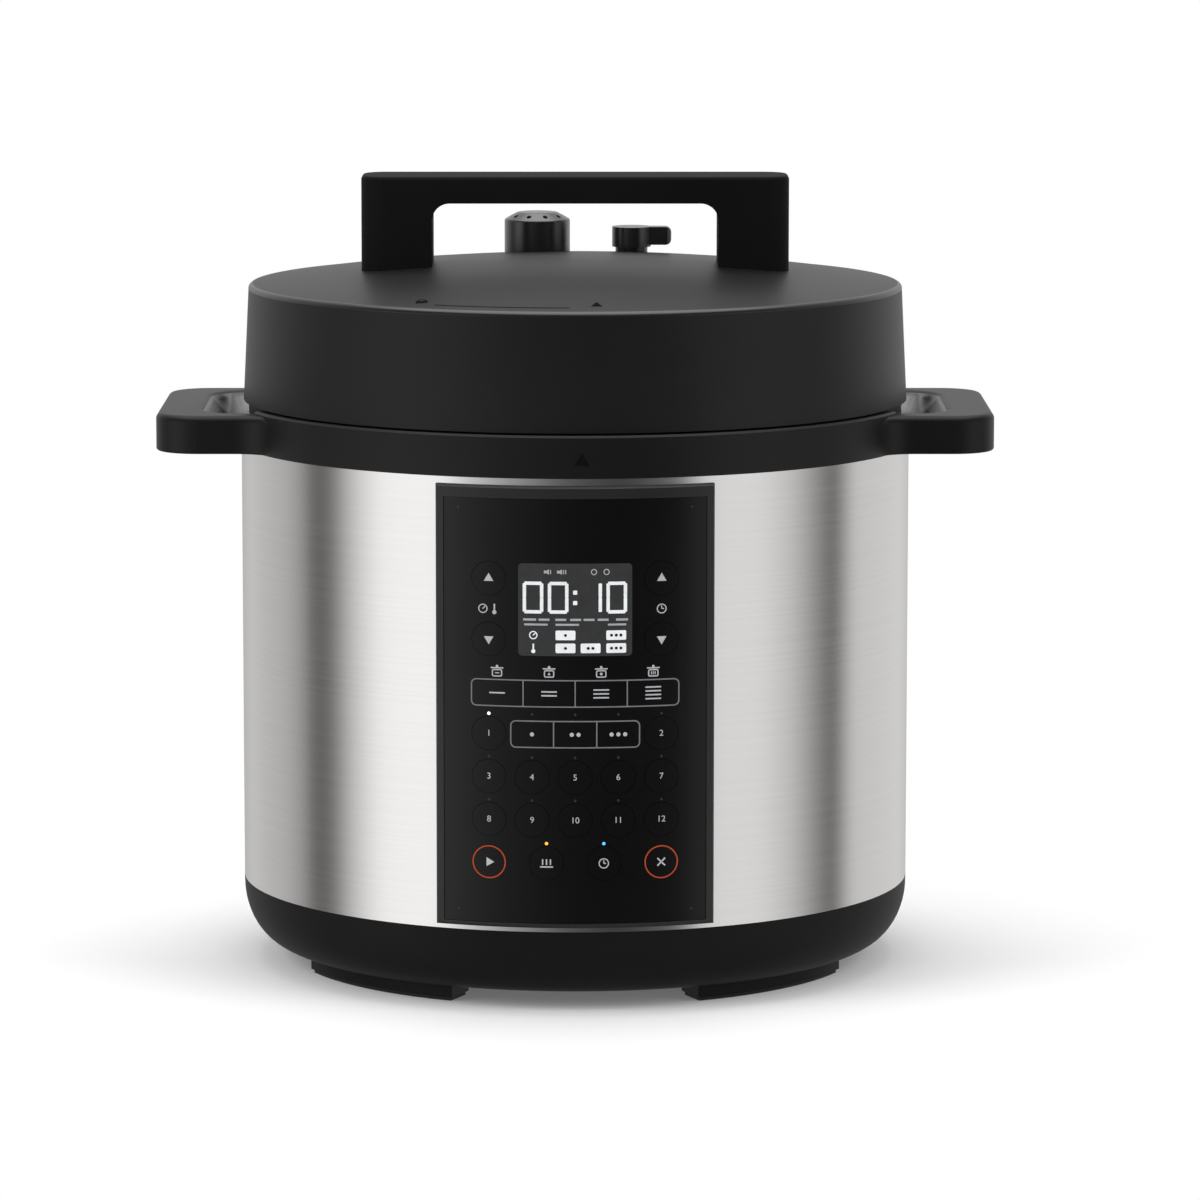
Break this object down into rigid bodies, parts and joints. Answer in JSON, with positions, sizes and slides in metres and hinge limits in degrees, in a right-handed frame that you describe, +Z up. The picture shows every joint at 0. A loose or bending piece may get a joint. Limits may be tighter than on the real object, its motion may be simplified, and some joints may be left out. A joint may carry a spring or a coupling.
{
  "type": "electric pressure cooker",
  "caption": "Round countertop electric pressure cooker with a steel sleeve, domed bayonet lid with arch handle, vented valve knob, lift-out pot and a curved key panel.",
  "frame": {"origin": "on the floor under the middle of the round body", "axes": "+Z up along the body's axis, -Y towards the control panel, +X towards the release lever's side"},
  "size_m": [0.332, 0.3032, 0.3154],
  "materials": {
    "black_plastic": "satin",
    "lid_plastic": "satin",
    "gloss_black": "gloss",
    "bezel_plastic": "satin",
    "panel_black": "gloss",
    "command_key": "gloss",
    "display_glass": "gloss",
    "display_face": "gloss",
    "sleeve_steel": "brushed",
    "inner_steel": "satin",
    "pot_steel": "polished",
    "cast_plate": "cast",
    "silicone": "matt",
    "pad_rubber": "matt",
    "circuit_board": "satin",
    "switch_plastic": "satin",
    "contact_brass": "plain",
    "cup_plastic": "translucent"
  },
  "bodies": {
    "housing": {"base_shell": "black_plastic", "foot_pads": "pad_rubber", "outer_shell": "sleeve_steel", "top_rim": "black_plastic", "liner": "inner_steel", "heating_plate": "cast_plate", "sensor_spring": "inner_steel", "power_board": "circuit_board", "power_inlet": "black_plastic", "inlet_pins": "contact_brass", "cup_bracket": "black_plastic", "panel_bezel": "bezel_plastic", "panel_film": "panel_black", "display_lens": "display_glass", "display_module": "display_face", "control_board": "circuit_board", "key_switches": "switch_plastic"},
    "pot": {"inner_pot": "pot_steel"},
    "gasket": {"sealing_ring": "silicone"},
    "lid": {"lid_cover": "lid_plastic", "lid_handle": "lid_plastic", "inner_lid": "inner_steel", "seal_rack": "inner_steel", "vent_pipe": "inner_steel", "vent_shield": "inner_steel", "release_valve": "inner_steel"},
    "valve": {"valve_cap": "gloss_black", "valve_weight": "inner_steel"},
    "lever": {"steam_release_lever": "gloss_black"},
    "float": {"float_pin": "inner_steel", "float_seal": "silicone"},
    "sensor": {"sensor_cap": "cast_plate"},
    "cup": {"condensate_cup": "cup_plastic"},
    "key_pressure_up": {"key_pressure_up": "panel_black"},
    "key_pressure_down": {"key_pressure_down": "panel_black"},
    "key_time_up": {"key_time_up": "panel_black"},
    "key_time_down": {"key_time_down": "panel_black"},
    "key_mode_1": {"key_mode_1": "panel_black"},
    "key_mode_2": {"key_mode_2": "panel_black"},
    "key_mode_3": {"key_mode_3": "panel_black"},
    "key_mode_4": {"key_mode_4": "panel_black"},
    "key_favourite_1": {"key_favourite_1": "panel_black"},
    "key_favourite_2": {"key_favourite_2": "panel_black"},
    "key_favourite_3": {"key_favourite_3": "panel_black"},
    "key_program_01": {"key_program_01": "panel_black"},
    "key_program_02": {"key_program_02": "panel_black"},
    "key_program_03": {"key_program_03": "panel_black"},
    "key_program_04": {"key_program_04": "panel_black"},
    "key_program_05": {"key_program_05": "panel_black"},
    "key_program_06": {"key_program_06": "panel_black"},
    "key_program_07": {"key_program_07": "panel_black"},
    "key_program_08": {"key_program_08": "panel_black"},
    "key_program_09": {"key_program_09": "panel_black"},
    "key_program_10": {"key_program_10": "panel_black"},
    "key_program_11": {"key_program_11": "panel_black"},
    "key_program_12": {"key_program_12": "panel_black"},
    "key_start": {"key_start": "command_key"},
    "key_keep_warm": {"key_keep_warm": "panel_black"},
    "key_delay": {"key_delay": "panel_black"},
    "key_cancel": {"key_cancel": "command_key"}
  },
  "joints": [
    {"name": "pot_lift", "type": "slide", "parent": "housing", "child": "pot", "axis": [0, 0, 1], "range_m": [0, 0.2]},
    {"name": "lid_lift", "type": "slide", "parent": "pot", "child": "gasket", "axis": [0, 0, 1], "range_m": [0, 0.12]},
    {"name": "lid_turn", "type": "hinge", "parent": "gasket", "child": "lid", "pos_m": [0, 0, 0.226], "axis": [0, 0, 1], "range_deg": [0, 30]},
    {"name": "knob_lift", "type": "slide", "parent": "lid", "child": "valve", "axis": [0, 0, 1], "range_m": [0, 0.004]},
    {"name": "lever_turn", "type": "hinge", "parent": "lid", "child": "lever", "pos_m": [0.0232, 0.07, 0.2572], "axis": [0, 0, 1], "range_deg": [0, 60]},
    {"name": "float_rise", "type": "slide", "parent": "lid", "child": "float", "axis": [0, 0, 1], "range_m": [0, 0.005]},
    {"name": "sensor_press", "type": "slide", "parent": "housing", "child": "sensor", "axis": [0, 0, -1], "range_m": [0, 0.002], "stiffness_N_per_m": 500, "springref_m": -0.002, "deforming": ["sensor_spring"]},
    {"name": "cup_pull", "type": "slide", "parent": "housing", "child": "cup", "axis": [0, 1, 0], "range_m": [0, 0.03]},
    {"name": "touch_pressure_up", "type": "slide", "parent": "housing", "child": "key_pressure_up", "axis": [0, 1, 0], "range_m": [0, 0.0004], "stiffness_N_per_m": 2500},
    {"name": "touch_pressure_down", "type": "slide", "parent": "housing", "child": "key_pressure_down", "axis": [0, 1, 0], "range_m": [0, 0.0004], "stiffness_N_per_m": 2500},
    {"name": "touch_time_up", "type": "slide", "parent": "housing", "child": "key_time_up", "axis": [0, 1, 0], "range_m": [0, 0.0004], "stiffness_N_per_m": 2500},
    {"name": "touch_time_down", "type": "slide", "parent": "housing", "child": "key_time_down", "axis": [0, 1, 0], "range_m": [0, 0.0004], "stiffness_N_per_m": 2500},
    {"name": "touch_mode_1", "type": "slide", "parent": "housing", "child": "key_mode_1", "axis": [0, 1, 0], "range_m": [0, 0.0004], "stiffness_N_per_m": 2500},
    {"name": "touch_mode_2", "type": "slide", "parent": "housing", "child": "key_mode_2", "axis": [0, 1, 0], "range_m": [0, 0.0004], "stiffness_N_per_m": 2500},
    {"name": "touch_mode_3", "type": "slide", "parent": "housing", "child": "key_mode_3", "axis": [0, 1, 0], "range_m": [0, 0.0004], "stiffness_N_per_m": 2500},
    {"name": "touch_mode_4", "type": "slide", "parent": "housing", "child": "key_mode_4", "axis": [0, 1, 0], "range_m": [0, 0.0004], "stiffness_N_per_m": 2500},
    {"name": "touch_favourite_1", "type": "slide", "parent": "housing", "child": "key_favourite_1", "axis": [0, 1, 0], "range_m": [0, 0.0004], "stiffness_N_per_m": 2500},
    {"name": "touch_favourite_2", "type": "slide", "parent": "housing", "child": "key_favourite_2", "axis": [0, 1, 0], "range_m": [0, 0.0004], "stiffness_N_per_m": 2500},
    {"name": "touch_favourite_3", "type": "slide", "parent": "housing", "child": "key_favourite_3", "axis": [0, 1, 0], "range_m": [0, 0.0004], "stiffness_N_per_m": 2500},
    {"name": "touch_program_01", "type": "slide", "parent": "housing", "child": "key_program_01", "axis": [0, 1, 0], "range_m": [0, 0.0004], "stiffness_N_per_m": 2500},
    {"name": "touch_program_02", "type": "slide", "parent": "housing", "child": "key_program_02", "axis": [0, 1, 0], "range_m": [0, 0.0004], "stiffness_N_per_m": 2500},
    {"name": "touch_program_03", "type": "slide", "parent": "housing", "child": "key_program_03", "axis": [0, 1, 0], "range_m": [0, 0.0004], "stiffness_N_per_m": 2500},
    {"name": "touch_program_04", "type": "slide", "parent": "housing", "child": "key_program_04", "axis": [0, 1, 0], "range_m": [0, 0.0004], "stiffness_N_per_m": 2500},
    {"name": "touch_program_05", "type": "slide", "parent": "housing", "child": "key_program_05", "axis": [0, 1, 0], "range_m": [0, 0.0004], "stiffness_N_per_m": 2500},
    {"name": "touch_program_06", "type": "slide", "parent": "housing", "child": "key_program_06", "axis": [0, 1, 0], "range_m": [0, 0.0004], "stiffness_N_per_m": 2500},
    {"name": "touch_program_07", "type": "slide", "parent": "housing", "child": "key_program_07", "axis": [0, 1, 0], "range_m": [0, 0.0004], "stiffness_N_per_m": 2500},
    {"name": "touch_program_08", "type": "slide", "parent": "housing", "child": "key_program_08", "axis": [0, 1, 0], "range_m": [0, 0.0004], "stiffness_N_per_m": 2500},
    {"name": "touch_program_09", "type": "slide", "parent": "housing", "child": "key_program_09", "axis": [0, 1, 0], "range_m": [0, 0.0004], "stiffness_N_per_m": 2500},
    {"name": "touch_program_10", "type": "slide", "parent": "housing", "child": "key_program_10", "axis": [0, 1, 0], "range_m": [0, 0.0004], "stiffness_N_per_m": 2500},
    {"name": "touch_program_11", "type": "slide", "parent": "housing", "child": "key_program_11", "axis": [0, 1, 0], "range_m": [0, 0.0004], "stiffness_N_per_m": 2500},
    {"name": "touch_program_12", "type": "slide", "parent": "housing", "child": "key_program_12", "axis": [0, 1, 0], "range_m": [0, 0.0004], "stiffness_N_per_m": 2500},
    {"name": "touch_start", "type": "slide", "parent": "housing", "child": "key_start", "axis": [0, 1, 0], "range_m": [0, 0.0004], "stiffness_N_per_m": 2500},
    {"name": "touch_keep_warm", "type": "slide", "parent": "housing", "child": "key_keep_warm", "axis": [0, 1, 0], "range_m": [0, 0.0004], "stiffness_N_per_m": 2500},
    {"name": "touch_delay", "type": "slide", "parent": "housing", "child": "key_delay", "axis": [0, 1, 0], "range_m": [0, 0.0004], "stiffness_N_per_m": 2500},
    {"name": "touch_cancel", "type": "slide", "parent": "housing", "child": "key_cancel", "axis": [0, 1, 0], "range_m": [0, 0.0004], "stiffness_N_per_m": 2500}
  ]
}
